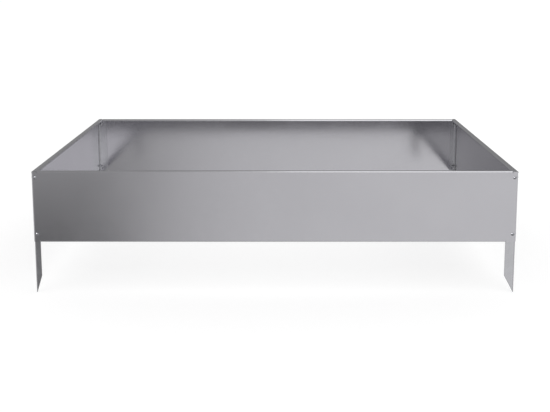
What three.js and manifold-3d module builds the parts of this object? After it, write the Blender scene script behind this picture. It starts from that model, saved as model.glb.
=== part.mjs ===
// Raised garden bed: an open frame of four folded steel walls that stands on the soil.
// Each corner is held by a pointed angle stake, which is fastened to both walls with flanged
// button-head screws and hexagon nuts, and which is pushed into the ground.
//
// Millimetres, +Z up. X runs along the long side, -Y is the front and +Y the back. The origin
// is under the middle of the bed, at the height of the stakes' tips. Nothing moves in use.

import * as THREE from 'three';
import { mergeVertices } from 'three/addons/utils/BufferGeometryUtils.js';
import Module from 'manifold-3d';

const wasm = await Module();
wasm.setup();

// ---------- Driving dimensions ----------

// The bed, over the outer faces of its walls.
const bedLength = 1200;
const bedWidth = 800;
const wallHeight = 180;
const stakeReach = 130; // how far the stakes go into the soil, below the foot of the walls

// The folded walls.
const wallSheet = 1; // thickness
const rimWidth = 14; // flat rim that is folded inward along the top edge
const rimBend = 3; // outer radius between wall and rim
const lipDrop = 6.3; // depth of the rounded lip on the rim's inner edge
const lipBend = 5; // outer radius between rim and lip
const footWidth = 12; // flange that is folded inward along the bottom edge, to rest on the soil
const footBend = 3; // outer radius between wall and foot
const endBend = 3.5; // outer radius of the long walls' ends, which are bent round the corners
const cornerRound = 3; // rounding of the walls' lower corners
const reliefSlit = 1.5; // slit beside the end of a fold, which lets the sheet bend

// The angle stakes.
const stakeSheet = 1.5; // thickness
const shortLeg = 15;
const longLeg = 25;
const stakeBend = 3.5; // outer radius between the legs
const pointHeight = 42.5; // height of the cuts that narrow both legs to the point
const tipWidth = 2;
const headroom = 1.7; // free height between the rims' lips and the top of a stake

// The screws and nuts.
const threadDiameter = 4;
const screwLength = 6; // under the head
const threadEase = 0.5; // cone at the end of the thread
const headDiameter = 9;
const headHeight = 1.6;
const flangeHeight = 0.4; // of the head's flat flange, below its dome
const domeDiameter = 7.6;
const crownDiameter = 4; // flat top of the dome, around the key socket
const keySize = 2.5; // hexagon socket, across the flats
const keyDepth = 1.1;
const nutAcross = 7; // across the flats
const nutHeight = 2.2;
const nutEase = 0.4; // height of the turned edges at both faces of a nut
const upperScrewDrop = 16; // from the top of the wall
const lowerScrewRise = 20; // from the foot of the wall

// Clearances.
const edgeGap = 0.3; // between cut edges that meet, and between neighbouring nuts
const holeClearance = 0.25; // all round a screw, in the sheets
const nutClearance = 0.15; // all round a screw, in its nut

// Flat strips in a bend, sides of round pieces, and strips in a screw's dome.
const bendSteps = 6;
const roundSides = 12;
const domeSteps = 3;

// ---------- Worked-out places ----------

const groundZ = stakeReach;
const topZ = groundZ + wallHeight;
const rimFoldZ = topZ - rimBend; // where the flat face of a wall ends, at the top
const footFoldZ = groundZ + footBend; // and at the bottom
const lipZ = topZ - lipDrop;
const stakeTopZ = lipZ - headroom;
const screwHeights = { upper: topZ - upperScrewDrop, lower: groundZ + lowerScrewRise };
// The screws of two walls meet at one height, so each keeps off the corner by the depth of
// its neighbour's nut, half the width of its own nut, and a gap.
const screwInset = wallSheet + stakeSheet + nutHeight + nutAcross / 2 + edgeGap;

// ---------- Materials ----------

const galvanisedSheet = { color: 0xb8b7bc, roughness: 0.3, metalness: 0.9 };
const galvanisedAngle = { color: 0xb2b2b5, roughness: 0.35, metalness: 0.9 };
const zincPlate = { color: 0xc8c8cb, roughness: 0.25, metalness: 1 };

// ---------- Solids ----------

const xAxis = new THREE.Vector3(1, 0, 0);
const yAxis = new THREE.Vector3(0, 1, 0);
const zAxis = new THREE.Vector3(0, 0, 1);

// A closed geometry as a solid that can be joined and cut.
function solid(geometry) {
  const bare = geometry.clone();
  bare.deleteAttribute('normal');
  bare.deleteAttribute('uv');
  const merged = mergeVertices(bare);
  return new wasm.Manifold(new wasm.Mesh({
    numProp: 3,
    vertProperties: new Float32Array(merged.attributes.position.array),
    triVerts: new Uint32Array(merged.index.array),
  }));
}

function geometryOf(body) {
  const { vertProperties, triVerts } = body.getMesh();
  const geometry = new THREE.BufferGeometry();
  geometry.setAttribute('position', new THREE.BufferAttribute(vertProperties, 3));
  geometry.setIndex(new THREE.BufferAttribute(triVerts, 1));
  geometry.computeVertexNormals();
  return geometry;
}

function extrude(outline, length) {
  return new THREE.ExtrudeGeometry(new THREE.Shape(outline), {
    depth: length,
    bevelEnabled: false,
  });
}

// An outline in (y, z), drawn out along X.
function alongX(outline, start, end) {
  const geometry = extrude(outline, end - start);
  geometry.applyMatrix4(new THREE.Matrix4().makeBasis(yAxis, zAxis, xAxis));
  return solid(geometry.translate(start, 0, 0));
}

// An outline in (x, z), drawn out along Y.
function alongY(outline, start, end) {
  const geometry = extrude(outline, end - start);
  geometry.applyMatrix4(new THREE.Matrix4().makeBasis(xAxis, zAxis, yAxis.clone().negate()));
  return solid(geometry.translate(0, end, 0));
}

// An outline in (x, y), drawn out along Z.
function alongZ(outline, start, end) {
  return solid(extrude(outline, end - start).translate(0, 0, start));
}

// A round rod along Y, around the axis of Y.
function rod(radius, start, end) {
  const geometry = new THREE.CylinderGeometry(radius, radius, end - start, roundSides);
  return geometry.translate(0, (start + end) / 2, 0);
}

// A line through corners [u, v, radius]; a corner without a radius stays sharp.
function rounded(corners) {
  const places = corners.map(([u, v]) => new THREE.Vector2(u, v));
  return corners.flatMap(([, , radius], i) => {
    if (!radius) return [places[i]];
    const before = places[i].clone().sub(places.at(i - 1)).normalize();
    const after = places[(i + 1) % places.length].clone().sub(places[i]).normalize();
    const turn = Math.atan2(before.cross(after), before.dot(after));
    const start = places[i].clone().addScaledVector(before, -radius * Math.tan(Math.abs(turn) / 2));
    const side = new THREE.Vector2(-before.y, before.x).multiplyScalar(Math.sign(turn));
    const centre = start.clone().addScaledVector(side, radius);
    return Array.from({ length: bendSteps + 1 }, (_, step) => (
      start.clone().rotateAround(centre, turn * step / bendSteps)
    ));
  });
}

// The section of a folded sheet, from the corners of its outer face in the order in which
// every fold turns left. The sheet lies to the left of that line, and each fold's radius is
// that of the outer face.
function foldedSection(corners, thickness) {
  const inner = corners.map(([u, v, radius], i) => {
    const neighbours = [corners[i - 1] ?? corners[i], corners[i + 1] ?? corners[i]];
    const before = new THREE.Vector2(u - neighbours[0][0], v - neighbours[0][1]).normalize();
    const after = new THREE.Vector2(neighbours[1][0] - u, neighbours[1][1] - v).normalize();
    const left = new THREE.Vector2(-before.y - after.y, before.x + after.x);
    const reach = thickness / (radius ? 1 + before.dot(after) : 1);
    return [u + left.x * reach, v + left.y * reach, radius && radius - thickness];
  });
  const loop = [...rounded(corners), ...rounded(inner).reverse()];
  // A fold that ends at the sheet's own edge leaves two points in one place.
  return loop.filter((point, i) => point.distanceTo(loop.at(i - 1)) > 1e-6);
}

// ---------- Walls ----------
// Every wall is drawn as the front one, with its middle at x = 0 and its outer face looking
// to -Y. Seen from outside, the short leg of a stake lies behind its left end and the long
// leg of the next stake behind its right end.

// Where the foot starts and ends, beside the stakes.
function footSpan(halfLength) {
  return [wallSheet + shortLeg + edgeGap - halfLength, halfLength - wallSheet - longLeg - edgeGap];
}

// The lower edge of a wall's flat face, from left to right: its ends come down to the ground
// beside the stakes, and the foot is folded from the stretch between them.
function lowerEdge(halfFace, halfLength) {
  const [footStart, footEnd] = footSpan(halfLength);
  const slitZ = footFoldZ + reliefSlit;
  return [
    [-halfFace, groundZ, cornerRound],
    [footStart - reliefSlit, groundZ],
    [footStart - reliefSlit, slitZ],
    [footStart, slitZ],
    [footStart, footFoldZ],
    [footEnd, footFoldZ],
    [footEnd, slitZ],
    [footEnd + reliefSlit, slitZ],
    [footEnd + reliefSlit, groundZ],
    [halfFace, groundZ, cornerRound],
  ];
}

function foot(faceY, halfLength) {
  const section = foldedSection(
    [[-faceY, footFoldZ], [-faceY, groundZ, footBend], [footWidth - faceY, groundZ]],
    wallSheet,
  );
  return alongX(section, ...footSpan(halfLength));
}

// The rim up to the start of its lip.
function flatRim(faceY, halfLength) {
  const section = foldedSection(
    [[rimWidth - lipBend - faceY, topZ], [-faceY, topZ, rimBend], [-faceY, rimFoldZ]],
    wallSheet,
  );
  return alongX(section, -halfLength, halfLength);
}

function rimWithLip(faceY, halfLength) {
  const lipY = rimWidth - faceY;
  const section = foldedSection(
    [[lipY, lipZ], [lipY, topZ, lipBend], [-faceY, topZ, rimBend], [-faceY, rimFoldZ]],
    wallSheet,
  );
  return alongX(section, -halfLength, halfLength);
}

function withScrewHoles(wall, faceY, halfLength) {
  const radius = threadDiameter / 2 + holeClearance;
  let body = wall;
  for (const x of [screwInset - halfLength, halfLength - screwInset]) {
    for (const z of Object.values(screwHeights)) {
      const hole = rod(radius, -wallSheet, 2 * wallSheet);
      body = body.subtract(solid(hole.translate(x, -faceY, z)));
    }
  }
  return body;
}

// The long walls have their ends bent round the corners. Their rims stop at the side walls'
// rims, and beyond those the face goes on as a tab that ducks under the side walls' rims.
function longWall() {
  const faceY = bedWidth / 2;
  const halfLength = bedLength / 2;
  const rimEnd = halfLength - rimWidth - edgeGap;
  const tabZ = topZ - wallSheet - edgeGap;
  const tabBend = rimBend - wallSheet - edgeGap;
  const tabEnd = halfLength - wallSheet - edgeGap;
  const upperCorner = [
    [halfLength, rimFoldZ - edgeGap],
    [tabEnd, rimFoldZ - edgeGap],
    [tabEnd, tabZ, tabBend],
    [rimEnd + reliefSlit, tabZ],
    [rimEnd + reliefSlit, rimFoldZ - reliefSlit],
    [rimEnd, rimFoldZ - reliefSlit],
    [rimEnd, rimFoldZ],
  ];
  const otherUpperCorner = upperCorner.map(([x, z, radius]) => [-x, z, radius]).reverse();
  const face = rounded([
    ...lowerEdge(halfLength, halfLength),
    ...upperCorner,
    ...otherUpperCorner,
  ]);
  const bentEnds = foldedSection(
    [
      [-halfLength, endBend - faceY],
      [-halfLength, -faceY, endBend],
      [halfLength, -faceY, endBend],
      [halfLength, endBend - faceY],
    ],
    wallSheet,
  );
  const wall = alongZ(bentEnds, groundZ, topZ)
    .intersect(alongY(face, -faceY - wallSheet, endBend + wallSheet - faceY))
    .add(rimWithLip(faceY, rimEnd))
    .add(foot(faceY, halfLength));
  return geometryOf(withScrewHoles(wall, faceY, halfLength));
}

// The side walls' faces stop behind the bent ends of the long walls. Their rims run on over
// both corners, and their lips stop behind the long walls' faces.
function sideWall() {
  const faceY = bedLength / 2;
  const halfLength = bedWidth / 2;
  const halfFace = halfLength - endBend - edgeGap;
  const face = rounded([
    ...lowerEdge(halfFace, halfLength),
    [halfFace, rimFoldZ],
    [-halfFace, rimFoldZ],
  ]);
  const wall = alongY(face, -faceY, wallSheet - faceY)
    .add(flatRim(faceY, halfLength))
    .add(rimWithLip(faceY, halfLength - wallSheet - edgeGap))
    .add(foot(faceY, halfLength));
  return geometryOf(withScrewHoles(wall, faceY, halfLength));
}

// ---------- Stake ----------
// Drawn for the front left corner with its outer faces on x = 0 and y = 0. The short leg
// runs along X, behind the front wall, and the long leg along Y, behind the left wall.
function stake() {
  const section = foldedSection([[0, longLeg], [0, 0, stakeBend], [shortLeg, 0]], stakeSheet);
  const blade = (leg) => rounded([
    [0, 0],
    [tipWidth, 0],
    [leg, pointHeight],
    [leg, stakeTopZ],
    [0, stakeTopZ],
  ]);
  let body = alongZ(section, 0, stakeTopZ)
    .intersect(alongY(blade(shortLeg), 0, longLeg))
    .intersect(alongX(blade(longLeg), 0, shortLeg));
  const radius = threadDiameter / 2 + holeClearance;
  const place = screwInset - wallSheet;
  for (const z of Object.values(screwHeights)) {
    const frontHole = rod(radius, -stakeSheet, 2 * stakeSheet).translate(place, 0, z);
    const sideHole = rod(radius, -stakeSheet, 2 * stakeSheet).rotateZ(-Math.PI / 2);
    body = body.subtract(solid(frontHole)).subtract(solid(sideHole.translate(0, place, z)));
  }
  return geometryOf(body);
}

// ---------- Screw and nut ----------
// Both are drawn around the Y axis. The screw's head is outside, at negative y, and sits on
// y = 0; the nut sits on y = 0 and goes on inward.

// A prism with six sides along Y, with two of its flats facing along X.
function hexagon(across, start, end) {
  const radius = across / 2 / Math.cos(Math.PI / 6);
  const geometry = new THREE.CylinderGeometry(radius, radius, end - start, 6);
  return solid(geometry.translate(0, (start + end) / 2, 0));
}

// A turned body from [radius, y] points, which run from its outer end to its inner end.
function turned(points) {
  return solid(new THREE.LatheGeometry(points.map(([r, y]) => new THREE.Vector2(r, y)), roundSides));
}

function screw() {
  const dome = Array.from({ length: domeSteps + 1 }, (_, step) => {
    const angle = Math.PI / 2 * (1 - step / domeSteps);
    return [
      crownDiameter / 2 + (domeDiameter - crownDiameter) / 2 * Math.cos(angle),
      -flangeHeight - (headHeight - flangeHeight) * Math.sin(angle),
    ];
  });
  const body = turned([
    [0, -headHeight],
    ...dome,
    [headDiameter / 2, -flangeHeight],
    [headDiameter / 2, 0],
    [threadDiameter / 2, 0],
    [threadDiameter / 2, screwLength - threadEase],
    [threadDiameter / 2 - threadEase, screwLength],
    [0, screwLength],
  ]);
  return geometryOf(body.subtract(hexagon(keySize, -headHeight - keyDepth, keyDepth - headHeight)));
}

function nut() {
  const cornerRadius = nutAcross / 2 / Math.cos(Math.PI / 6);
  const turnedEdges = turned([
    [0, 0],
    [nutAcross / 2, 0],
    [cornerRadius, nutEase],
    [cornerRadius, nutHeight - nutEase],
    [nutAcross / 2, nutHeight],
    [0, nutHeight],
  ]);
  const bore = rod(threadDiameter / 2 + nutClearance, -nutHeight, 2 * nutHeight);
  return geometryOf(hexagon(nutAcross, 0, nutHeight).intersect(turnedEdges).subtract(solid(bore)));
}

// ---------- Assembly ----------

const quarterTurn = Math.PI / 2;

function named(name, geometry, finish) {
  const mesh = new THREE.Mesh(geometry, new THREE.MeshStandardMaterial(finish));
  mesh.name = name;
  return mesh;
}

const group = new THREE.Group();
const longWallGeometry = longWall();
const sideWallGeometry = sideWall();
const stakeGeometry = stake();
const screwGeometry = screw();
const nutGeometry = nut();

// The walls in the order of quarter turns, seen from above. Each has at its left end, seen
// from outside, the corner that is named with it.
const walls = [
  { wall: 'front', corner: 'front_left', geometry: longWallGeometry },
  { wall: 'right', corner: 'front_right', geometry: sideWallGeometry },
  { wall: 'back', corner: 'back_right', geometry: longWallGeometry },
  { wall: 'left', corner: 'back_left', geometry: sideWallGeometry },
];

walls.forEach(({ wall, corner, geometry }, turn) => {
  const isLong = geometry === longWallGeometry;
  const halfLength = (isLong ? bedLength : bedWidth) / 2;
  const faceY = (isLong ? bedWidth : bedLength) / 2;
  const side = new THREE.Group();
  side.rotation.z = turn * quarterTurn;
  side.add(named(`${wall}_wall`, geometry, galvanisedSheet));

  const angle = named(`${corner}_stake`, stakeGeometry, galvanisedAngle);
  angle.position.set(wallSheet - halfLength, wallSheet - faceY, 0);
  side.add(angle);

  for (const [end, x] of [['left', screwInset - halfLength], ['right', halfLength - screwInset]]) {
    for (const [level, z] of Object.entries(screwHeights)) {
      const screwMesh = named(`${wall}_wall_${end}_${level}_screw`, screwGeometry, zincPlate);
      screwMesh.position.set(x, -faceY, z);
      const nutMesh = named(`${wall}_wall_${end}_${level}_nut`, nutGeometry, zincPlate);
      nutMesh.position.set(x, wallSheet + stakeSheet - faceY, z);
      side.add(screwMesh, nutMesh);
    }
  }
  group.add(side);
});

export default group;
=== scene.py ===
# %% [markdown]
# # A raised garden bed of folded sheet steel
# Four galvanised walls make an open frame, and a pointed angle stake holds each corner. The
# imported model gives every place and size. This notebook dresses it: the sheets get smooth folds
# and a finish with real detail, and the fasteners are made again with their threads and sockets.

# %% Load the frame
import bisect
import math

import bmesh
import bpy
from mathutils import Matrix, Vector
from mathutils.geometry import delaunay_2d_cdt


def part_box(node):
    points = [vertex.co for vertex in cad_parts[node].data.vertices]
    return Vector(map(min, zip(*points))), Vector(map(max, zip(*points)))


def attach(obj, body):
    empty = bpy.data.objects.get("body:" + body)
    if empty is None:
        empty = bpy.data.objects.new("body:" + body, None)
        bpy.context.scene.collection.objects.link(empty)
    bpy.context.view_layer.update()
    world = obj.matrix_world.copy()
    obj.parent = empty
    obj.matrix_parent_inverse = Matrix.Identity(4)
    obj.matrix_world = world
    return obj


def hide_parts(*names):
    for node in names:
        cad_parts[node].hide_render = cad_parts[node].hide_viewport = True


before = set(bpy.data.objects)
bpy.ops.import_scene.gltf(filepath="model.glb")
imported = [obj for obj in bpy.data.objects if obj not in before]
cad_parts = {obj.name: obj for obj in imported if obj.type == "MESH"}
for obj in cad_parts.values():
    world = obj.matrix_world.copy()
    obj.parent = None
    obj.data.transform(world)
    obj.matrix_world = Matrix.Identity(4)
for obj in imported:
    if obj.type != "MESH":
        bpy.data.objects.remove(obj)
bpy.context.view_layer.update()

MM = 0.001

# %% [markdown]
# ## The sizes
# A part is easier to change when each size has one name. These are the sizes of the steel
# itself, in metres. They could be typed where they are used, but a fold's radius is needed for
# the sheet and again for its shading, and two copies would drift apart.

# %% Name the sizes
BED_LENGTH, BED_WIDTH = 1200 * MM, 800 * MM
GROUND_Z, TOP_Z = 130 * MM, 310 * MM
WALL_SHEET, STAKE_SHEET = 1 * MM, 1.5 * MM
RIM_WIDTH, RIM_BEND = 14 * MM, 3 * MM
LIP_Z, LIP_BEND = 303.7 * MM, 5 * MM
FOOT_WIDTH, FOOT_BEND = 12 * MM, 3 * MM
END_BEND, CORNER_ROUND = 3.5 * MM, 3 * MM
RELIEF_SLIT, EDGE_GAP = 1.5 * MM, 0.3 * MM
SHORT_LEG, LONG_LEG, STAKE_BEND = 15 * MM, 25 * MM, 3.5 * MM
STAKE_TOP_Z, POINT_HEIGHT, TIP_WIDTH = 302 * MM, 42.5 * MM, 2 * MM
SCREW_INSET, SCREW_HEIGHTS = 8.5 * MM, (150 * MM, 294 * MM)
HOLE_RADIUS = 2.25 * MM
BEND_STEPS, HOLE_SIDES = 12, 16
SAME_PLACE = 0.001 * MM  # points that are closer than this are one
RIM_FOLD_Z, FOOT_FOLD_Z = TOP_Z - RIM_BEND, GROUND_Z + FOOT_BEND
print("bed", BED_LENGTH, "x", BED_WIDTH, "x", round(TOP_Z, 3), "m")

# %% [markdown]
# ## The camera
# The photograph was taken from straight in front, a little above the rim, with a long lens and
# the picture shifted down to keep the walls upright. A tilted camera could give the same view of
# one corner but not of all four, so lens, place, tilt and shift were solved together from the
# corners of the rim and the foot.

# %% Place the camera
camera_data = bpy.data.cameras.new("camera")
camera_data.lens = 57.36
camera_data.sensor_width = 36
camera_data.shift_x = -0.0154
camera_data.shift_y = -0.18
camera = bpy.data.objects.new("camera", camera_data)
camera.location = (0.0212, -2.5095, 0.7846)
camera.rotation_euler = (math.radians(90 - 8.48), 0, 0)
bpy.context.scene.collection.objects.link(camera)
bpy.context.scene.camera = camera
bpy.context.scene.view_settings.view_transform = "Standard"
print("camera at", tuple(camera.location), "lens", camera_data.lens)

# %% [markdown]
# ## Helpers for colours and nodes
# Colours are written as the sRGB hex values that a colour picker shows, while the renderer
# counts light, so one function turns them to linear. One more adds a node with its settings and
# links. It serves materials and Geometry Nodes alike, which keeps each recipe short to read.

# %% Write the two helpers
def linear(hex_colour):
    """The linear colour of an sRGB hex value, with alpha."""
    parts = [int(hex_colour[i:i + 2], 16) / 255 for i in (0, 2, 4)]
    return [p / 12.92 if p <= 0.04045 else ((p + 0.055) / 1.055) ** 2.4 for p in parts] + [1]


def add(tree, kind, settings=None, inputs=None):
    """Adds a node. An input is a socket to link from, or a value; it goes by name or number."""
    made = tree.nodes.new(kind)
    for name, value in (settings or {}).items():
        setattr(made, name, value)
    for key, value in (inputs or {}).items():
        if isinstance(value, bpy.types.NodeSocket):
            tree.links.new(value, made.inputs[key])
        else:
            made.inputs[key].default_value = value
    return made


print("mid grey 808080 is", round(linear("808080")[0], 3), "in light")

# %% [markdown]
# ## Galvanised sheet, skin-passed
# The walls are cut from steel coil with a zinc coat that was rolled once more, lightly, to level
# its crystals. To the eye that gives a cool satin metal: reflections stay readable but soft,
# faint grains of the zinc's spangle show in them, and hair-fine rolling lines run along the coil.
# An image could carry this, but a noise drawn from real sizes stays sharp at any distance. The
# pattern follows the flat blank, through a map in metres, so it runs over the folds unbroken.

# %% Make the sheet's finish
SPANGLE = 9 * MM  # across one zinc crystal
ROLL_LINE = (260 * MM, 2.4 * MM)  # real lines are 0.1 mm wide; drawn coarser, so that they show
HANDLING = 170 * MM  # across one patch of slightly duller zinc


def coated_steel(name, colour, painted_fold_colour, roughness, spangle, grain, lines):
    """Zinc-coated steel, with its patterns in metres on the map of the flat blank."""
    material = bpy.data.materials.new(name)
    material.use_nodes = True
    tree = material.node_tree
    shader = tree.nodes["Principled BSDF"]
    shader.inputs["Metallic"].default_value = 1
    blank = add(tree, "ShaderNodeUVMap", {"uv_map": "blank"}).outputs["UV"]
    crystals = add(tree, "ShaderNodeTexVoronoi", {"voronoi_dimensions": "2D"},
                   {"Vector": blank, "Scale": 1 / spangle, "Randomness": 1})
    crystal = add(tree, "ShaderNodeSeparateColor", None, {"Color": crystals.outputs["Color"]})
    lined = add(tree, "ShaderNodeMapping", None,
                {"Vector": blank, "Scale": (1 / lines[0], 1 / lines[1], 1)})
    streaks = add(tree, "ShaderNodeTexNoise", {"noise_dimensions": "2D"},
                  {"Vector": lined.outputs["Vector"], "Scale": 1, "Detail": 3})
    patches = add(tree, "ShaderNodeTexNoise", {"noise_dimensions": "2D"},
                  {"Vector": blank, "Scale": 1 / HANDLING, "Detail": 4, "Roughness": 0.55})
    folds = add(tree, "ShaderNodeAttribute", {"attribute_name": "fold"}).outputs["Fac"]

    # How light the zinc is: the crystals and patches first, and then the folds, which get a
    # painted
    # tone of their own: a painted highlight on the sheet's bends, a painted shade on the stakes'.
    # The noise keeps to the middle of its range, so the ramp spreads that part over both tones.
    light, dark = [linear(c) for c in colour]
    tone = add(tree, "ShaderNodeMath", {"operation": "MULTIPLY_ADD"},
               {0: crystal.outputs["Red"], 1: grain, 2: patches.outputs["Fac"]})
    body = add(tree, "ShaderNodeValToRGB", None, {"Fac": tone.outputs[0]})
    body.color_ramp.elements[0].position, body.color_ramp.elements[0].color = 0.3, dark
    body.color_ramp.elements[1].position, body.color_ramp.elements[1].color = 0.8, light
    # Painted light along the folds, mixed in by how deep a point lies in its bend.
    fold_painted_light = add(tree, "ShaderNodeMix", {"data_type": "RGBA"},
               {"Factor": folds, "A": body.outputs["Color"], "B": linear(painted_fold_colour)})
    tree.links.new(fold_painted_light.outputs["Result"], shader.inputs["Base Color"])

    # How rough it is, in hundredths round one value: duller in the patches, a little different
    # from crystal to crystal, and drawn out along the lines.
    dull = add(tree, "ShaderNodeMapRange", None, {
        "Value": patches.outputs["Fac"], "From Min": 0.3, "From Max": 0.7,
        "To Min": roughness - 0.01, "To Max": roughness + 0.015})
    facets = add(tree, "ShaderNodeMath", {"operation": "MULTIPLY_ADD"},
                 {0: crystal.outputs["Green"], 1: grain * 0.12, 2: dull.outputs["Result"]})
    brushed = add(tree, "ShaderNodeMath", {"operation": "MULTIPLY_ADD"},
                  {0: streaks.outputs["Fac"], 1: 0.02, 2: facets.outputs[0]})
    tree.links.new(brushed.outputs[0], shader.inputs["Roughness"])

    relief = add(tree, "ShaderNodeBump", None, {
        "Strength": 0.03, "Distance": 0.02 * MM, "Height": streaks.outputs["Fac"]})
    tree.links.new(relief.outputs["Normal"], shader.inputs["Normal"])
    return material


# dedee2 paints the sheet's folds lighter: a painted highlight along every bend.
galvanised_sheet = coated_steel(
    "galvanised_steel_skin_passed", ("d8d7dc", "d4d3d8"), "dedee2", 0.12, SPANGLE, 0.12,
    ROLL_LINE)
print("made", galvanised_sheet.name)

# %% [markdown]
# ## Hot-dip galvanised angle
# The stakes are cut from thicker stock. Their zinc is the same metal, but it froze slowly after
# the dip, so its crystals are larger and its surface is duller. Their folded corner is painted
# darker: a painted shade along the bend. It needs no second recipe: the same one with other sizes
# keeps the two steels related, as they are on the real bed.

# %% Make the stakes' finish
# b0b0b4 paints the stakes' folded corner darker: a painted shade along the bend.
galvanised_angle = coated_steel(
    "galvanised_steel_hot_dipped", ("d7d7db", "d0d0d4"), "b0b0b4", 0.16, 14 * MM, 0.3,
    (90 * MM, 5 * MM))
print("made", galvanised_angle.name)

# %% [markdown]
# ## Sheared edges
# A press shears the blanks after the coil was coated, so the steel itself shows on every cut
# edge: a smooth band from the blade and a torn, rougher one below it. It could be left as zinc,
# but a thin darker line at each edge is what tells the eye that a sheet has thickness.

# %% Make the cut edges' finish
sheared_edge = bpy.data.materials.new("mild_steel_sheared")
sheared_edge.use_nodes = True
edge_tree = sheared_edge.node_tree
edge_shader = edge_tree.nodes["Principled BSDF"]
edge_shader.inputs["Metallic"].default_value = 1
edge_place = add(edge_tree, "ShaderNodeTexCoord").outputs["Object"]
TEAR = 0.4 * MM  # across one tear of the shear
tears = add(edge_tree, "ShaderNodeTexNoise", None,
            {"Vector": edge_place, "Scale": 1 / TEAR, "Detail": 2})
edge_tone = add(edge_tree, "ShaderNodeValToRGB", None, {"Fac": tears.outputs["Fac"]})
edge_tone.color_ramp.elements[0].color = linear("a3a3a6")
edge_tone.color_ramp.elements[1].color = linear("bcbcbf")
edge_tree.links.new(edge_tone.outputs["Color"], edge_shader.inputs["Base Color"])
edge_rough = add(edge_tree, "ShaderNodeMapRange", None,
                 {"Value": tears.outputs["Fac"], "To Min": 0.28, "To Max": 0.48})
edge_tree.links.new(edge_rough.outputs["Result"], edge_shader.inputs["Roughness"])
print("made", sheared_edge.name)

# %% [markdown]
# ## Barrel-plated zinc
# Screws and nuts are plated in a barrel, which leaves a thin and slightly blue zinc with fine
# tumbling marks. Polished chrome would be too mirror-like and bare steel too warm. This zinc
# isn't rolled smooth, so the screws' base is greyer than the sheet's, and a small noise dents
# it: a screw head reads as a dark dot with one glint.

# %% Make the fasteners' finish
TUMBLE = 0.9 * MM  # across one tumbling mark


def plated(name, light, dark, roughness):
    """Barrel-plated zinc on a small turned or pressed piece."""
    material = bpy.data.materials.new(name)
    material.use_nodes = True
    tree = material.node_tree
    shader = tree.nodes["Principled BSDF"]
    shader.inputs["Metallic"].default_value = 1
    place = add(tree, "ShaderNodeTexCoord").outputs["Object"]
    marks = add(tree, "ShaderNodeTexNoise", None,
                {"Vector": place, "Scale": 1 / TUMBLE, "Detail": 3})
    tone = add(tree, "ShaderNodeValToRGB", None, {"Fac": marks.outputs["Fac"]})
    tone.color_ramp.elements[0].color = linear(dark)
    tone.color_ramp.elements[1].color = linear(light)
    tree.links.new(tone.outputs["Color"], shader.inputs["Base Color"])
    rough = add(tree, "ShaderNodeMapRange", None, {
        "Value": marks.outputs["Fac"], "To Min": roughness - 0.04, "To Max": roughness + 0.08})
    tree.links.new(rough.outputs["Result"], shader.inputs["Roughness"])
    relief = add(tree, "ShaderNodeBump", None, {
        "Strength": 0.15, "Distance": 0.03 * MM, "Height": marks.outputs["Fac"]})
    tree.links.new(relief.outputs["Normal"], shader.inputs["Normal"])
    return material


screw_zinc = plated("zinc_plate_barrel_plated", "b2b2b7", "9e9ea3", 0.14)
nut_zinc = plated("zinc_plate_pressed_nut", "cdcdd0", "bbbbbe", 0.27)
print("made", screw_zinc.name, "and", nut_zinc.name)

# %% [markdown]
# ## How a folded sheet is drawn
# A press brake folds a flat blank, so its bends are exact arcs that share one centre for both
# faces. Bevelling a sharp corner would come close, but the arcs are as easy: a line runs through
# the corners of the outer face, each fold is drawn with its radius, and the distance along the
# line is kept, because that is where the point lay on the flat blank.

# %% Draw lines with folds
def folded_line(corners):
    """Points (place, distance along the line) through corners (a, b, fold radius or 0)."""
    points = []
    for i, (a, b, radius) in enumerate(corners):
        corner = Vector((a, b))
        places = [corner]
        if radius:
            before = (corner - Vector(corners[i - 1][:2])).normalized()
            after = (Vector(corners[(i + 1) % len(corners)][:2]) - corner).normalized()
            turn = math.atan2(before.x * after.y - before.y * after.x, before.dot(after))
            start = corner - before * radius * math.tan(abs(turn) / 2)
            side = math.copysign(radius, turn)
            centre = start + Vector((-before.y, before.x)) * side
            places = [centre + Matrix.Rotation(turn * k / BEND_STEPS, 2) @ (start - centre)
                      for k in range(BEND_STEPS + 1)]
        points += places
    distances = [0]
    for one, other in zip(points, points[1:]):
        distances.append(distances[-1] + (other - one).length)
    return list(zip(points, distances))


rim_line = folded_line([(0, RIM_FOLD_Z, 0), (0, TOP_Z, RIM_BEND),
                        (RIM_WIDTH, TOP_Z, LIP_BEND), (RIM_WIDTH, LIP_Z, 0)])
foot_line = folded_line([(0, FOOT_FOLD_Z, 0), (0, GROUND_Z, FOOT_BEND),
                         (FOOT_WIDTH, GROUND_Z, 0)])
print("rim blank", round(rim_line[-1][1] / MM, 2), "mm, foot", round(foot_line[-1][1] / MM, 2))

# %% [markdown]
# ## From patches to a sheet
# Each sheet is a few patches that share their border points: flat ones, cut to an outline with
# holes, and bent ones, which are plain grids. Merging joins them, and Solidify gives the real
# thickness, inward, with the cut edges as a second material. Booleans on a solid would also do
# it, but they leave ragged faces that show in a glossy metal.

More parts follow.
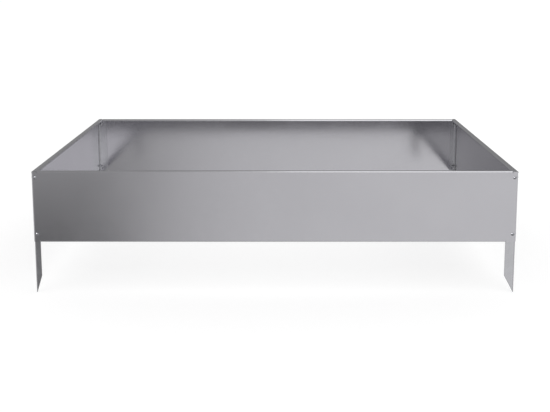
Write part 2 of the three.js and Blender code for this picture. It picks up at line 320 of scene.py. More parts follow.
# %% Build sheets from patches
class Sheet:
    """A sheet without thickness, built of patches, with a map of its flat blank."""

    def __init__(self):
        self.mesh = bmesh.new()
        self.blank = self.mesh.loops.layers.uv.new("blank")

    def face(self, corners):
        made = self.mesh.faces.new([self.mesh.verts.new(place) for place, _ in corners])
        for loop, (_, flat) in zip(made.loops, corners):
            loop[self.blank].uv = flat

    def grid(self, rows):
        """Rows of (place, place on the blank), all of one length."""
        for row, following in zip(rows, rows[1:]):
            for k in range(len(row) - 1):
                self.face([row[k], row[k + 1], following[k + 1], following[k]])

    def panel(self, outline, holes, place):
        """A flat patch: an outline with round holes, in its own plane."""
        rings = [outline]
        for centre in holes:
            rings.append([(centre[0] + HOLE_RADIUS * math.cos(k * math.tau / HOLE_SIDES),
                           centre[1] + HOLE_RADIUS * math.sin(k * math.tau / HOLE_SIDES))
                          for k in range(HOLE_SIDES)])
        points, edges = [], []
        for ring in rings:
            start = len(points)
            points += [Vector(p) for p in ring]
            edges += [(start + k, start + (k + 1) % len(ring)) for k in range(len(ring))]
        places, _, triangles, *_ = delaunay_2d_cdt(points, edges, [], 1, SAME_PLACE / 10)
        for triangle in triangles:
            middle = sum((places[i] for i in triangle), Vector((0, 0))) / 3
            outside = HOLE_RADIUS * 0.98  # the straight sides of a hole cut its circle short
            if all((middle - Vector(h)).length > outside for h in holes):
                self.face([(place(*places[i]), places[i]) for i in triangle])


print("a sheet is built of panels and grids")

# %% [markdown]
# ## Shading the folds
# A smooth-shaded mesh guesses its normals from the faces round a point, and next to a large flat
# face a thin bend spoils that guess. In a mirror-like metal it shows as a grey veil. Here every
# bend is a known cylinder, so each corner of a face gets its exact normal: the direction from
# the bend's axis where it lies on a bend, and the face's own where it doesn't.

# %% Give the folds exact normals
NEARLY_STRAIGHT = 0.9  # the cosine between a bent face and the direction from the axis
BEND_SLACK = 0.01 * MM  # how far outside its bend a point may lie
AXIS_CORE = 0.1 * MM  # nearer to the axis, a point has no clear direction


def shade_folds(mesh, bends):
    """bends: (axis, centre, quadrant, outer radius); centre and quadrant are in the others.

    A face belongs to a bend where its corner lies in the bend's quadrant and within its radius,
    and where it looks nearly straight away from the bend's axis, or towards it.
    """
    # It also keeps how deep each point lies in a bend, which weights the folds' painted light.
    folds = mesh.attributes.new("fold", "FLOAT", "POINT")
    normals = [None] * len(mesh.loops)
    for face in mesh.polygons:
        for i in face.loop_indices:
            point = mesh.vertices[mesh.loops[i].vertex_index].co
            normals[i] = face.normal.copy()
            for axis, centre, quadrant, radius in bends:
                others = [k for k in range(3) if k != axis]
                away = Vector((0, 0, 0))
                for k, middle in zip(others, centre):
                    away[k] = point[k] - middle
                inside = all(away[k] * sign > -SAME_PLACE for k, sign in zip(others, quadrant))
                if not (inside and AXIS_CORE < away.length < radius + BEND_SLACK):
                    continue
                direction = away.normalized()
                agreement = direction.dot(face.normal)
                if abs(agreement) > NEARLY_STRAIGHT:
                    normals[i] = direction * math.copysign(1, agreement)
                    # The painted fold tone is 0 where a bend starts and ends, and strongest in
                    # its middle.
                    painted_fold_share = min(abs(direction[others[0]]), abs(direction[others[1]]))
                    folds.data[mesh.loops[i].vertex_index].value = painted_fold_share
    mesh.polygons.foreach_set("use_smooth", [True] * len(mesh.polygons))
    mesh.normals_split_custom_set(normals)


def finish_sheet(sheet, name, thickness, outward, bends, finish):
    """The sheet as a mesh with thickness; outward is where its first face looks."""
    work = sheet.mesh
    bmesh.ops.remove_doubles(work, verts=work.verts, dist=SAME_PLACE)
    bmesh.ops.recalc_face_normals(work, faces=work.faces)
    work.faces.ensure_lookup_table()
    if work.faces[0].normal.dot(outward) < 0:
        bmesh.ops.reverse_faces(work, faces=work.faces)
    flat = bpy.data.meshes.new(name + "_blank")
    work.to_mesh(flat)
    work.free()
    flat.materials.append(finish)
    flat.materials.append(sheared_edge)
    holder = bpy.data.objects.new(name + "_blank", flat)
    bpy.context.scene.collection.objects.link(holder)
    solidify = holder.modifiers.new("thickness", "SOLIDIFY")
    solidify.thickness = thickness
    solidify.offset = -1
    solidify.use_even_offset = True
    solidify.material_offset_rim = 1
    solid = bpy.data.meshes.new_from_object(
        holder.evaluated_get(bpy.context.evaluated_depsgraph_get()))
    solid.name = name
    bpy.data.objects.remove(holder)
    shade_folds(solid, bends)
    return solid


def place_copy(mesh, name, node, turn):
    """Puts a turned copy of a mesh in the place of a CAD node."""
    copy = mesh.copy()
    copy.transform(Matrix.Rotation(turn, 4, "Z"))
    piece = bpy.data.objects.new(name, copy)
    bpy.context.scene.collection.objects.link(piece)
    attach(piece, "root")
    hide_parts(node)
    low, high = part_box(node)
    corners = [Vector([pick(v.co[k] for v in copy.vertices) for k in range(3)])
               for pick in (min, max)]
    off = max((corners[0] - low).length, (corners[1] - high).length)
    print(name, len(copy.polygons), "faces, off its node by", round(off / MM, 3), "mm")


print("fold shading ready")

# %% [markdown]
# ## The long walls
# Each long wall is one blank: a face with a rim folded inward and down along the top, a foot
# folded inward along the bottom, and both ends bent round the corners. Small slits end each
# fold, as the tool needs them, and a low tab at each end ducks under the side wall's rim. A wall
# is drawn once, as the front one, and its copy is turned to the back.

# %% Build a long wall
def wall_holes(half_length):
    inset = half_length - SCREW_INSET
    return [(x, z) for x in (-inset, inset) for z in SCREW_HEIGHTS]


def foot_span(half_length):
    """Where the foot starts and ends, beside the stakes."""
    return (WALL_SHEET + SHORT_LEG + EDGE_GAP - half_length,
            half_length - WALL_SHEET - LONG_LEG - EDGE_GAP)


def lower_edge(half_length):
    """The face's lower edge between its two corners, with the slits beside the foot."""
    start, end = foot_span(half_length)
    slit = FOOT_FOLD_Z + RELIEF_SLIT
    return [(start - RELIEF_SLIT, GROUND_Z), (start - RELIEF_SLIT, slit), (start, slit),
            (start, FOOT_FOLD_Z), (end, FOOT_FOLD_Z), (end, slit),
            (end + RELIEF_SLIT, slit), (end + RELIEF_SLIT, GROUND_Z)]


def rounding(radius, across):
    """How high a rounded corner of a sheet stands, at a distance from where it starts."""
    return math.sqrt(max(0, radius ** 2 - across ** 2))


def folded_strip(sheet, line, xs, face_y, blank_z, way):
    """A strip that follows a folded line, between the places xs along the wall."""
    sheet.grid([[(Vector((x, face_y + p.x, p.y)), (x, blank_z + way * d)) for x in xs]
                for p, d in line])


half_length, face_y = BED_LENGTH / 2, -BED_WIDTH / 2
rim_end = half_length - RIM_WIDTH - EDGE_GAP
tab_z = TOP_Z - WALL_SHEET - EDGE_GAP
tab_bend = RIM_BEND - WALL_SHEET - EDGE_GAP
flat_end = half_length - END_BEND
long_wall = Sheet()
upper = [(flat_end, tab_z), (rim_end + RELIEF_SLIT, tab_z),
         (rim_end + RELIEF_SLIT, RIM_FOLD_Z - RELIEF_SLIT),
         (rim_end, RIM_FOLD_Z - RELIEF_SLIT), (rim_end, RIM_FOLD_Z)]
outline = ([(-flat_end, GROUND_Z)] + lower_edge(half_length) + [(flat_end, GROUND_Z)]
           + upper + [(-x, z) for x, z in reversed(upper)])
long_wall.panel(outline, wall_holes(half_length), lambda x, z: Vector((x, face_y, z)))
folded_strip(long_wall, rim_line, (-rim_end, rim_end), face_y, RIM_FOLD_Z, 1)
folded_strip(long_wall, foot_line, foot_span(half_length), face_y, FOOT_FOLD_Z, -1)
for side in (-1, 1):
    rows = []
    for k in range(BEND_STEPS + 1):
        angle = math.pi / 2 * k / BEND_STEPS
        x = flat_end + END_BEND * math.sin(angle)
        y = face_y + END_BEND * (1 - math.cos(angle))
        past = max(0, x - (half_length - CORNER_ROUND))
        low = GROUND_Z + CORNER_ROUND - rounding(CORNER_ROUND, past)
        under = min(max(0, x - (half_length - RIM_BEND)), tab_bend)
        high = tab_z - tab_bend + rounding(tab_bend, under)
        if x > half_length - RIM_BEND + tab_bend:
            high -= EDGE_GAP
        arc = side * (flat_end + END_BEND * angle)
        rows.append([(Vector((side * x, y, z)), (arc, z)) for z in (low, high)])
    long_wall.grid(rows)

inner_y = face_y + RIM_WIDTH - LIP_BEND
wall_bends = [
    (0, (face_y + RIM_BEND, RIM_FOLD_Z), (-1, 1), RIM_BEND),
    (0, (inner_y, TOP_Z - LIP_BEND), (1, 1), LIP_BEND),
    (0, (face_y + FOOT_BEND, FOOT_FOLD_Z), (-1, -1), FOOT_BEND),
]
end_bends = [(2, (side * flat_end, face_y + END_BEND), (side, -1), END_BEND)
             for side in (-1, 1)]
front = Vector((0, -1, 0))
long_mesh = finish_sheet(long_wall, "long_wall", WALL_SHEET, front,
                         wall_bends + end_bends, galvanised_sheet)
place_copy(long_mesh, "front_wall_sheet", "front_wall", 0)
place_copy(long_mesh, "back_wall_sheet", "back_wall", math.pi)

# %% [markdown]
# ## The side walls
# A side wall stops short of the corners, behind the bent ends of the long walls, but its rim
# runs on over them, which covers the joint. So its rim needs border points where the face and
# the lip stop. A cut through a longer wall would do the same, with less control of the points.

# %% Build a side wall
side_half, side_y = BED_WIDTH / 2, -BED_LENGTH / 2
face_end = side_half - END_BEND - EDGE_GAP
lip_end = side_half - WALL_SHEET - EDGE_GAP
side_wall = Sheet()
corner_points = [(face_end - CORNER_ROUND + CORNER_ROUND * math.sin(angle),
                  GROUND_Z + CORNER_ROUND - CORNER_ROUND * math.cos(angle))
                 for angle in [math.pi / 2 * k / BEND_STEPS for k in range(BEND_STEPS + 1)]]
outline = ([(-x, z) for x, z in reversed(corner_points)] + lower_edge(side_half)
           + corner_points + [(face_end, RIM_FOLD_Z), (-face_end, RIM_FOLD_Z)])
side_wall.panel(outline, wall_holes(side_half), lambda x, z: Vector((x, side_y, z)))
full_xs = [-side_half, -lip_end, -face_end, face_end, lip_end, side_half]
flat_part = bisect.bisect_left([d for _, d in rim_line], rim_line[BEND_STEPS + 2][1])
folded_strip(side_wall, rim_line[:flat_part + 1], full_xs, side_y, RIM_FOLD_Z, 1)
folded_strip(side_wall, rim_line[flat_part:], full_xs[1:-1], side_y, RIM_FOLD_Z, 1)
folded_strip(side_wall, foot_line, foot_span(side_half), side_y, FOOT_FOLD_Z, -1)
side_bends = [(axis, (middle[0] + side_y - face_y, middle[1]), quadrant, radius)
              for axis, middle, quadrant, radius in wall_bends]
side_mesh = finish_sheet(side_wall, "side_wall", WALL_SHEET, front,
                         side_bends, galvanised_sheet)
place_copy(side_mesh, "right_wall_sheet", "right_wall", math.pi / 2)
place_copy(side_mesh, "left_wall_sheet", "left_wall", -math.pi / 2)

# %% [markdown]
# ## The stakes
# A stake is a folded angle with one narrow and one wide leg, and slanting cuts on both legs
# leave a point at the folded corner, the stiffest place to push into soil. The bend is a grid of
# upright strips, and each strip starts at the height of the higher cut.

# %% Build a stake
def cut_height(across, leg):
    """How high the slanting cut of a leg is, at a distance from the corner."""
    return max(0, (across - TIP_WIDTH) * POINT_HEIGHT / (leg - TIP_WIDTH))


stake_place = SCREW_INSET - WALL_SHEET
stake = Sheet()
for leg, place in ((SHORT_LEG, lambda a, z: Vector((a, 0, z))),
                   (LONG_LEG, lambda a, z: Vector((0, a, z)))):
    outline = [(STAKE_BEND, cut_height(STAKE_BEND, leg)), (leg, POINT_HEIGHT),
               (leg, STAKE_TOP_Z), (STAKE_BEND, STAKE_TOP_Z)]
    stake.panel(outline, [(stake_place, z) for z in SCREW_HEIGHTS], place)
rows = []
for k in range(BEND_STEPS + 1):
    angle = math.pi / 2 * k / BEND_STEPS
    x = STAKE_BEND * (1 - math.sin(angle))
    y = STAKE_BEND * (1 - math.cos(angle))
    low = max(cut_height(x, SHORT_LEG), cut_height(y, LONG_LEG))
    rows.append([(Vector((x, y, z)), (-STAKE_BEND * angle, z)) for z in (low, STAKE_TOP_Z)])
stake.grid(rows)
stake_mesh = finish_sheet(stake, "stake", STAKE_SHEET, front,
                          [(2, (STAKE_BEND, STAKE_BEND), (-1, -1), STAKE_BEND)],
                          galvanised_angle)
corners = (("front_left", 0, BED_LENGTH, BED_WIDTH), ("front_right", 1, BED_WIDTH, BED_LENGTH),
           ("back_right", 2, BED_LENGTH, BED_WIDTH), ("back_left", 3, BED_WIDTH, BED_LENGTH))
for corner, turns, along, across in corners:
    standing = stake_mesh.copy()
    standing.transform(Matrix.Translation((WALL_SHEET - along / 2, WALL_SHEET - across / 2, 0)))
    place_copy(standing, corner + "_stake_angle", corner + "_stake", turns * math.pi / 2)

# %% [markdown]
# ## Where the fasteners sit
# Sixteen screws go through the walls from outside, and sixteen nuts sit inside the stakes. Each
# could be a copied object, but they are all one piece of data: a place and a direction. So two
# clouds of points carry them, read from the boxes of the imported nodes, and Geometry Nodes puts
# a fastener on every point.

# %% Collect the places
OUTWARD = {"front": (0, -1, 0), "right": (1, 0, 0), "back": (0, 1, 0), "left": (-1, 0, 0)}
screw_nodes = sorted(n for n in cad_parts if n.endswith("_screw"))
nut_nodes = sorted(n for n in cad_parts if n.endswith("_nut"))


def fastener_points(name, nodes, outer_end):
    """One point for each node, at its outer or inner end, with the direction outward."""
    mesh = bpy.data.meshes.new(name)
    places, directions = [], []
    for node in nodes:
        out = Vector(OUTWARD[node.split("_")[0]])
        low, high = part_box(node)
        size = Vector([abs(c) for c in out]).dot(high - low)
        places.append((low + high) / 2 + out * size * (0.5 if outer_end else -0.5))
        directions.append(out)
    mesh.from_pydata(places, [], [])
    facing = mesh.attributes.new("outward", "FLOAT_VECTOR", "POINT")
    facing.data.foreach_set("vector", [c for d in directions for c in d])
    points = bpy.data.objects.new(name, mesh)
    bpy.context.scene.collection.objects.link(points)
    return points


screw_points = fastener_points("screw_points", screw_nodes, True)
nut_points = fastener_points("nut_points", nut_nodes, False)
print(len(screw_nodes), "screws and", len(nut_nodes), "nuts")

# %% [markdown]
# ## Helpers for the fasteners' trees
# A turned piece is a line whose distance from its axis changes along its length. In Geometry
# Nodes that is a curve along the axis, swept by a circle whose scale is that distance. It could
# be a spun outline in mesh code, but the tree keeps every size as a named input.

# %% Write the tree helpers
SHARP_FROM = math.radians(32)  # a dome's rings turn by less, and an edge by more


def new_tree(name, sizes):
    """An empty tree with a geometry, a material and the given sizes as inputs."""
    tree = bpy.data.node_groups.new(name, "GeometryNodeTree")
    face = tree.interface
    face.new_socket("Geometry", in_out="INPUT", socket_type="NodeSocketGeometry")
    face.new_socket("Material", in_out="INPUT", socket_type="NodeSocketMaterial")
    for size, value in sizes.items():
        kind = "NodeSocketInt" if isinstance(value, int) else "NodeSocketFloat"
        face.new_socket(size, in_out="INPUT", socket_type=kind).default_value = value
    face.new_socket("Geometry", in_out="OUTPUT", socket_type="NodeSocketGeometry")
    return tree, tree.nodes.new("NodeGroupInput").outputs


def maths(tree, operation, *values):
    """The result of a Math node."""
    return add(tree, "ShaderNodeMath", {"operation": operation},
               dict(enumerate(values))).outputs[0]


def swept(tree, curve, radius, sides):
    """A curve along the axis, swept by a circle of changing radius and closed at its ends."""
    circle = add(tree, "GeometryNodeCurvePrimitiveCircle", None,
                 {"Resolution": sides, "Radius": 1.0})
    return add(tree, "GeometryNodeCurveToMesh", None, {
        "Curve": curve, "Profile Curve": circle.outputs["Curve"], "Scale": radius,
        "Fill Caps": True}).outputs["Mesh"]


def put_on_points(tree, given, piece):
    """Puts a piece on each point, turned outward, and finishes the tree."""
    facing = add(tree, "GeometryNodeInputNamedAttribute", {"data_type": "FLOAT_VECTOR"},
                 {"Name": "outward"})
    turned = add(tree, "FunctionNodeAlignRotationToVector", {"axis": "Z"},
                 {"Vector": facing.outputs["Attribute"]})
    # Cuts that meet in one point leave edges without a length, and this merges their ends.
    merged = add(tree, "GeometryNodeMergeByDistance", None,
                 {"Geometry": piece, "Distance": SAME_PLACE})
    copies = add(tree, "GeometryNodeInstanceOnPoints", None, {
        "Points": given["Geometry"], "Instance": merged.outputs["Geometry"],
        "Rotation": turned.outputs["Rotation"]})
    real = add(tree, "GeometryNodeRealizeInstances", None,
               {"Geometry": copies.outputs["Instances"]})
    dressed = add(tree, "GeometryNodeSetMaterial", None,
                  {"Geometry": real.outputs["Geometry"], "Material": given["Material"]})
    add(tree, "NodeGroupOutput", None, {0: dressed.outputs["Geometry"]})


def made_plain(points, tree, finish, name, nodes):
    """Runs the tree on its points and keeps the result as one plain mesh."""
    modifier = points.modifiers.new(name, "NODES")
    modifier.node_group = tree
    sockets = {item.name: item.identifier for item in tree.interface.items_tree
               if item.in_out == "INPUT"}
    modifier[sockets["Material"]] = finish
    mesh = bpy.data.meshes.new_from_object(
        points.evaluated_get(bpy.context.evaluated_depsgraph_get()))
    points.modifiers.remove(modifier)
    bpy.data.objects.remove(points)
    mesh.polygons.foreach_set("use_smooth", [True] * len(mesh.polygons))
    mesh.set_sharp_from_angle(angle=SHARP_FROM)
    piece = bpy.data.objects.new(name, mesh)
    bpy.context.scene.collection.objects.link(piece)
    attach(piece, "root")
    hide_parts(*nodes)
    print(name, len(mesh.polygons), "faces")
    return piece


print("tree helpers ready")

# %% [markdown]
# ## The screws
# Each is an M4 button-head screw with a flange: a low dome that leaves nothing to catch a sleeve
# on, a hexagon socket for the key, and a thread that ends just past its nut. The thread is
# drawn as rings with its real 0.7 mm pitch. A true helix would look the same at this size and
# cost far more faces.

# %% Grow the screws
SCREW_SIZES = {
    "Head diameter": 9 * MM, "Head height": 1.6 * MM, "Flange height": 0.4 * MM,
    "Foot diameter": 8.2 * MM, "Dome radius": 6.08 * MM, "Crown diameter": 3.2 * MM,
    "Socket size": 2.5 * MM, "Socket depth": 1.1 * MM, "Thread diameter": 4 * MM,
    "Flange slope": 0.15 * MM, "Thread length": 6 * MM, "Thread pitch": 0.7 * MM, "Sides": 28,
}
DOME_RINGS = 9
THREAD_DEPTH = 0.6  # of the pitch
tree, given = new_tree("button_head_screws", SCREW_SIZES)
along = add(tree, "GeometryNodeSplineParameter").outputs
height, flange = given["Head height"], given["Flange height"]
# The tree's zero is the crown of the head, which is where the points lie.
up = add(tree, "ShaderNodeCombineXYZ", None, {"Z": maths(tree, "SUBTRACT", flange, height)})
dome_line = add(tree, "GeometryNodeCurvePrimitiveLine", None, {"Start": up.outputs[0]})
dome_points = add(tree, "GeometryNodeResampleCurve", None,
                  {"Curve": dome_line.outputs["Curve"], "Count": DOME_RINGS})
# The dome is a slice of a ball, and its foot lies inside the flange, so that they join well.
ball = given["Dome radius"]
low_angle, high_angle = [
    maths(tree, "ARCSINE", maths(tree, "DIVIDE", maths(tree, "MULTIPLY", given[d], 0.5), ball))
    for d in ("Foot diameter", "Crown diameter")]
angle = maths(tree, "MULTIPLY_ADD", along["Factor"],
               maths(tree, "SUBTRACT", high_angle, low_angle), low_angle)
fall = maths(tree, "SUBTRACT", maths(tree, "COSINE", angle),
              maths(tree, "COSINE", high_angle))
dome_z = maths(tree, "MULTIPLY", fall, ball)
dome_place = add(tree, "ShaderNodeCombineXYZ", None, {"Z": dome_z})
dome_curve = add(tree, "GeometryNodeSetPosition", None, {
    "Geometry": dome_points.outputs["Curve"], "Position": dome_place.outputs[0]})
dome_radius = maths(tree, "MULTIPLY", maths(tree, "SINE", angle), ball)
dome = swept(tree, dome_curve.outputs["Geometry"], dome_radius, given["Sides"])

head_radius = maths(tree, "MULTIPLY", given["Head diameter"], 0.5)
plate = add(tree, "GeometryNodeMeshCone", None, {
    "Vertices": given["Sides"], "Depth": flange, "Radius Bottom": head_radius,
    "Radius Top": maths(tree, "SUBTRACT", head_radius, given["Flange slope"])})
plate_low = add(tree, "ShaderNodeCombineXYZ", None, {"Z": maths(tree, "MULTIPLY", height, -1)})
plate = add(tree, "GeometryNodeTransform", None, {
    "Geometry": plate.outputs["Mesh"], "Translation": plate_low.outputs[0]})
# The manifold solver keeps closed meshes closed, which the quicker float solver doesn't.
head = add(tree, "GeometryNodeMeshBoolean", {"operation": "UNION", "solver": "MANIFOLD"})
tree.links.new(dome, head.inputs["Mesh 2"])
tree.links.new(plate.outputs["Geometry"], head.inputs["Mesh 2"])
key = add(tree, "GeometryNodeMeshCylinder", None, {
    "Vertices": 6, "Depth": maths(tree, "MULTIPLY", given["Socket depth"], 2),
    "Radius": maths(tree, "MULTIPLY", given["Socket size"], 0.5 / math.cos(math.pi / 6))})
socketed = add(tree, "GeometryNodeMeshBoolean", {"operation": "DIFFERENCE", "solver": "MANIFOLD"},
               {"Mesh 1": head.outputs["Mesh"]})
tree.links.new(key.outputs["Mesh"], socketed.inputs["Mesh 2"])

length, pitch = given["Thread length"], given["Thread pitch"]
thread_end = add(tree, "ShaderNodeCombineXYZ", None, {
    "Z": maths(tree, "MULTIPLY", maths(tree, "ADD", height, length), -1)})
thread_line = add(tree, "GeometryNodeCurvePrimitiveLine", None, {
    "Start": plate_low.outputs[0], "End": thread_end.outputs[0]})
rings = maths(tree, "FLOOR", maths(tree, "DIVIDE", length, pitch))
thread_points = add(tree, "GeometryNodeResampleCurve", None, {
    "Curve": thread_line.outputs["Curve"],
    "Count": maths(tree, "MULTIPLY_ADD", rings, 2, 2)})
valley = maths(tree, "MODULO", along["Index"], 2)
cut = maths(tree, "MULTIPLY", maths(tree, "MULTIPLY", valley, pitch), THREAD_DEPTH)
thread_radius = maths(tree, "SUBTRACT",
                       maths(tree, "MULTIPLY", given["Thread diameter"], 0.5), cut)
thread = swept(tree, thread_points.outputs["Curve"], thread_radius, given["Sides"])
whole = add(tree, "GeometryNodeJoinGeometry", None, {"Geometry": thread})
tree.links.new(socketed.outputs["Mesh"], whole.inputs["Geometry"])
put_on_points(tree, given, whole.outputs["Geometry"])
screws = made_plain(screw_points, tree, screw_zinc, "button_head_screws", screw_nodes)

# %% [markdown]
# ## The nuts
# A plain hexagon nut is pressed and then turned at both faces, which leaves a round edge with
# six small arcs where it meets the flats. That is a hexagon prism cut by a turned body, less
# its bore. Bevelling a prism would round the flats too, which no real nut shows.

# %% Grow the nuts
NUT_SIZES = {
    "Across flats": 7 * MM, "Height": 2.2 * MM, "Turned edge": 0.4 * MM,
    "Bore diameter": 4.3 * MM, "Sides": 36,
}
tree, given = new_tree("hexagon_nuts", NUT_SIZES)
height = given["Height"]
flat = maths(tree, "MULTIPLY", given["Across flats"], 0.5)
corner_radius = maths(tree, "DIVIDE", flat, math.cos(math.pi / 6))
# The tree's zero is the nut's inner face, and the stake lies above it.
middle = add(tree, "ShaderNodeCombineXYZ", None, {"Z": maths(tree, "MULTIPLY", height, 0.5)})
prism = add(tree, "GeometryNodeMeshCylinder", None,
            {"Vertices": 6, "Radius": corner_radius, "Depth": height})
prism = add(tree, "GeometryNodeTransform", None, {
    "Geometry": prism.outputs["Mesh"], "Translation": middle.outputs[0]})
top = add(tree, "ShaderNodeCombineXYZ", None, {"Z": height})
turned_line = add(tree, "GeometryNodeCurvePrimitiveLine", None, {"End": top.outputs[0]})
turned_points = add(tree, "GeometryNodeResampleCurve", None,
                    {"Curve": turned_line.outputs["Curve"], "Count": 4})
index = add(tree, "GeometryNodeSplineParameter").outputs["Index"]
at_end = add(tree, "GeometryNodeCurveEndpointSelection").outputs[0]
second = maths(tree, "GREATER_THAN", index, 1.5)
edge_z = maths(tree, "MULTIPLY_ADD", second, maths(
    tree, "MULTIPLY_ADD", given["Turned edge"], -2, height), given["Turned edge"])
edge_place = add(tree, "ShaderNodeCombineXYZ", None, {"Z": edge_z})
between = add(tree, "FunctionNodeBooleanMath", {"operation": "NOT"}, {0: at_end})
turned_curve = add(tree, "GeometryNodeSetPosition", None, {
    "Geometry": turned_points.outputs["Curve"], "Selection": between.outputs[0],
    "Position": edge_place.outputs[0]})
# The turned body is wider than the corners and narrower than the flats, so that it cuts all six.
wide = maths(tree, "MULTIPLY", corner_radius, 1.02)
narrow = maths(tree, "MULTIPLY", flat, 0.98)
edge_radius = add(tree, "GeometryNodeSwitch", {"input_type": "FLOAT"},
                  {"Switch": at_end, "False": wide, "True": narrow})
turned_body = swept(tree, turned_curve.outputs["Geometry"], edge_radius.outputs[0],
                    given["Sides"])
pressed = add(tree, "GeometryNodeMeshBoolean", {"operation": "INTERSECT", "solver": "MANIFOLD"})
tree.links.new(prism.outputs["Geometry"], pressed.inputs["Mesh 2"])
tree.links.new(turned_body, pressed.inputs["Mesh 2"])
bore = add(tree, "GeometryNodeMeshCylinder", None, {
    "Vertices": given["Sides"], "Depth": maths(tree, "MULTIPLY", height, 4),
    "Radius": maths(tree, "MULTIPLY", given["Bore diameter"], 0.5)})
bored = add(tree, "GeometryNodeMeshBoolean", {"operation": "DIFFERENCE", "solver": "MANIFOLD"},
            {"Mesh 1": pressed.outputs["Mesh"]})
tree.links.new(bore.outputs["Mesh"], bored.inputs["Mesh 2"])
put_on_points(tree, given, bored.outputs["Mesh"])
made_plain(nut_points, tree, nut_zinc, "hexagon_nuts", nut_nodes)

# %% [markdown]
# ## The floor
# The photograph's ground is plain white. A white floor could be lit until it clips, but that
# would wash out the metal. Here the lamps stay plain, and the floor adds a little light of its
# own towards the camera, so that it reads as white and keeps its shadow.

# %% Lay the floor
REACH = 30
FLOOR_GLOW = 0.51  # light that the floor adds towards the camera, where 1 is white


def board(name, corners):
    """A flat board of the set: it isn't part of the object."""
    mesh = bpy.data.meshes.new(name)
    mesh.from_pydata(corners, [], [(0, 1, 2, 3)])
    made = bpy.data.objects.new(name, mesh)
    bpy.context.scene.collection.objects.link(made)
    return made


def lying(x0, x1, y0, y1, z):
    """The corners of a level board."""
    return [(x0, y0, z), (x1, y0, z), (x1, y1, z), (x0, y1, z)]


floor = board("floor", lying(-REACH, REACH, -REACH, REACH, 0))
# The cards below take the floor's place in the metal's reflections.
floor.visible_glossy = False
floor_paint = bpy.data.materials.new("matt_white_floor")
floor_paint.use_nodes = True
floor_tree = floor_paint.node_tree
floor_tree.nodes.remove(floor_tree.nodes["Principled BSDF"])
rays = add(floor_tree, "ShaderNodeLightPath").outputs
seen = add(floor_tree, "ShaderNodeMath", {"operation": "MAXIMUM"},
           {0: rays["Is Camera Ray"], 1: rays["Is Glossy Ray"]})
seen = add(floor_tree, "ShaderNodeMath", {"operation": "MAXIMUM"},
           {0: seen.outputs[0], 1: rays["Is Transmission Ray"]})
seen = add(floor_tree, "ShaderNodeMath", {"operation": "MULTIPLY"},
           {0: seen.outputs[0], 1: FLOOR_GLOW})
matt = add(floor_tree, "ShaderNodeBsdfDiffuse", None, {"Color": linear("c0c0c0")})
glow = add(floor_tree, "ShaderNodeEmission", None, {"Strength": seen.outputs[0]})
both = add(floor_tree, "ShaderNodeAddShader", None,
           {0: matt.outputs["BSDF"], 1: glow.outputs["Emission"]})
floor_tree.links.new(both.outputs["Shader"],
                     floor_tree.nodes["Material Output"].inputs["Surface"])
floor.data.materials.append(floor_paint)
print("floor", 2 * REACH, "m wide")

# %% [markdown]
# ## Light
# Metal shows little but what surrounds it, so the light is a plain white surround with two soft
# boxes. The fold along the front rim looks up into the wide one, which brightens its right half.
# The far one puts a glint on the upper left of every screw. A glint on so small a piece takes a
# strong lamp, which would burn a white line into the rims, so it is linked to the screws alone.

# %% Set the surround and the lamps
world = bpy.data.worlds.new("surround")
world.use_nodes = True
world.node_tree.nodes["Background"].inputs["Color"].default_value = (1, 1, 1, 1)
world.node_tree.nodes["Background"].inputs["Strength"].default_value = 1
bpy.context.scene.world = world


def soft_box(name, place, aim, size, radiance):
    """A large area lamp of a given radiance, turned towards a point."""
    data = bpy.data.lights.new(name, "AREA")
    data.shape = "RECTANGLE"
    data.size, data.size_y = size
    data.energy = radiance * math.pi * size[0] * size[1]
    lamp = bpy.data.objects.new(name, data)
    lamp.location = place
    lamp.rotation_euler = (Vector(aim) - Vector(place)).to_track_quat("-Z", "Y").to_euler()
    bpy.context.scene.collection.objects.link(lamp)
    print(name, "at", place, "gives", round(data.energy, 1), "W")
    return lamp


soft_box("right_soft_box", place=(1.72, -3.6, 2.7), aim=(1.72, 0, 0.3), size=(3.5, 1),
         radiance=1.2)
glint = soft_box("left_soft_box", place=(-13.8, -18, 10.5), aim=(0, -0.4, 0.3), size=(9.5, 7.5),
                 radiance=12)
glinting = bpy.data.collections.new("glinting")
glinting.objects.link(screws)
glint.light_linking.receiver_collection = glinting

# %% [markdown]
# ## Cards for the reflections
# A photographer of metal puts grey cards where a darker reflection is wanted, because only a
# reflection shapes a flat sheet. These stand far off, so that each shade lies in one direction
# for the whole bed: dark on the left, light on the right, and darker behind. They are seen by
# the metal alone, and neither light nor shade comes from them.

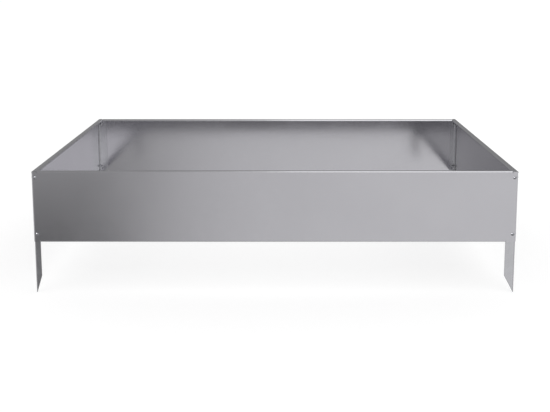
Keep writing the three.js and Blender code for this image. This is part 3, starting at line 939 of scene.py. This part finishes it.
# %% Put up the cards
def card(name, corners, tones, border=(0, 0)):
    """A card whose greys blend along its first side, given as (place in metres, grey).

    border is the width of its fading borders along both sides, as a share of the card.
    """
    made = board(name, corners)
    layer = made.data.uv_layers.new(name="across")
    for loop, flat in zip(layer.data, ((0, 0), (1, 0), (1, 1), (0, 1))):
        loop.uv = flat
    made.visible_camera = made.visible_diffuse = made.visible_shadow = False
    paint = bpy.data.materials.new(name)
    paint.use_nodes = True
    tree = paint.node_tree
    tree.nodes.remove(tree.nodes["Principled BSDF"])
    across = add(tree, "ShaderNodeSeparateXYZ", None, {
        0: add(tree, "ShaderNodeUVMap", {"uv_map": "across"}).outputs["UV"]}).outputs
    ramp = add(tree, "ShaderNodeValToRGB", None, {"Fac": across["X"]})
    way = 0 if corners[0][0] != corners[1][0] else 1
    start, end = corners[0][way], corners[1][way]
    points = ramp.color_ramp.elements
    while len(points) < len(tones):
        points.new(0.5)
    for k, (place, grey) in enumerate(tones):
        points[k].position = (place - start) / (end - start)
        points[k].color = (grey, grey, grey, 1)
    # How far a place is inside the nearest border, from 0 to 1.
    inside = 1
    for axis, width in zip("XY", border):
        if not width:
            continue
        away = add(tree, "ShaderNodeMath", {"operation": "PINGPONG"}, {0: across[axis], 1: 0.5})
        away = add(tree, "ShaderNodeMapRange", {"interpolation_type": "SMOOTHSTEP"}, {
            "Value": away.outputs[0], "From Max": width})
        inside = add(tree, "ShaderNodeMath", {"operation": "MULTIPLY"},
                     {0: inside, 1: away.outputs[0]}).outputs[0]
    shown = add(tree, "ShaderNodeEmission", None, {"Color": ramp.outputs["Color"]})
    clear = add(tree, "ShaderNodeBsdfTransparent")
    mixed = add(tree, "ShaderNodeMixShader", None, {
        "Fac": inside, 1: clear.outputs["BSDF"], 2: shown.outputs["Emission"]})
    tree.links.new(mixed.outputs["Shader"], tree.nodes["Material Output"].inputs["Surface"])
    made.data.materials.append(paint)
    print(name, "with", len(tones), "tones")


def standing(x0, x1, y, z0, z1):
    """The corners of an upright card in front or behind."""
    return [(x0, y, z0), (x1, y, z0), (x1, y, z1), (x0, y, z1)]


def beside(x, z0, z1):
    """The corners of an upright card at one side."""
    return [(x, -FAR, z0), (x, FAR, z0), (x, FAR, z1), (x, -FAR, z1)]


FAR, LOW, HIGH = 30, -16, 20  # the closed box of cards, in metres from the middle
FRONT_TONES = [(-26, 0.6), (-14, 0.37), (-9.5, 0.35), (-8.1, 0.345), (-6.9, 0.345), (-5.7, 0.365),
               (-4.6, 0.465), (-3.5, 0.55), (-2.3, 0.6), (-1.2, 0.63), (-0.1, 0.652),
               (4, 0.686), (9, 0.711), (26, 0.7)]
card("front_card", standing(-FAR, FAR, -FAR, LOW, HIGH), FRONT_TONES)
card("front_left_card", standing(-14, -5.2, -29.5, -18, -6.49), [(-14, 0.255), (-5.2, 0.27)],
     (0.25, 0))
card("front_corner_card", standing(-20, -5, -29, -11.4, -7.2), [(-20, 0.06), (-5, 0.06)],
     (0.3, 0.5))
card("low_card", lying(-FAR, FAR, -FAR, FAR, LOW),
     [(-26, 0.6), (-12, 0.5), (-7, 0.26), (8, 0.635)])
card("back_low_card", standing(-FAR, FAR, FAR, LOW, 0),
     [(-18, 0.6), (-9, 0.2), (9, 0.24), (18, 0.6)])
card("back_high_card", standing(-FAR, FAR, FAR, 0, HIGH),
     [(-18, 0.6), (-10, 0.288), (10, 0.254), (18, 0.6)])
card("left_card", beside(-FAR, LOW, HIGH), [(-FAR, 0.5), (FAR, 0.5)])
card("right_card", beside(FAR, LOW, HIGH), [(-FAR, 0.62), (FAR, 0.62)])
card("overhead_card", lying(-FAR, FAR, -FAR, FAR, HIGH),
     [(-7.5, 0.27), (-5.5, 0.29), (-3.1, 0.36), (-1.1, 0.58), (-0.18, 0.64), (-0.16, 0.92)])
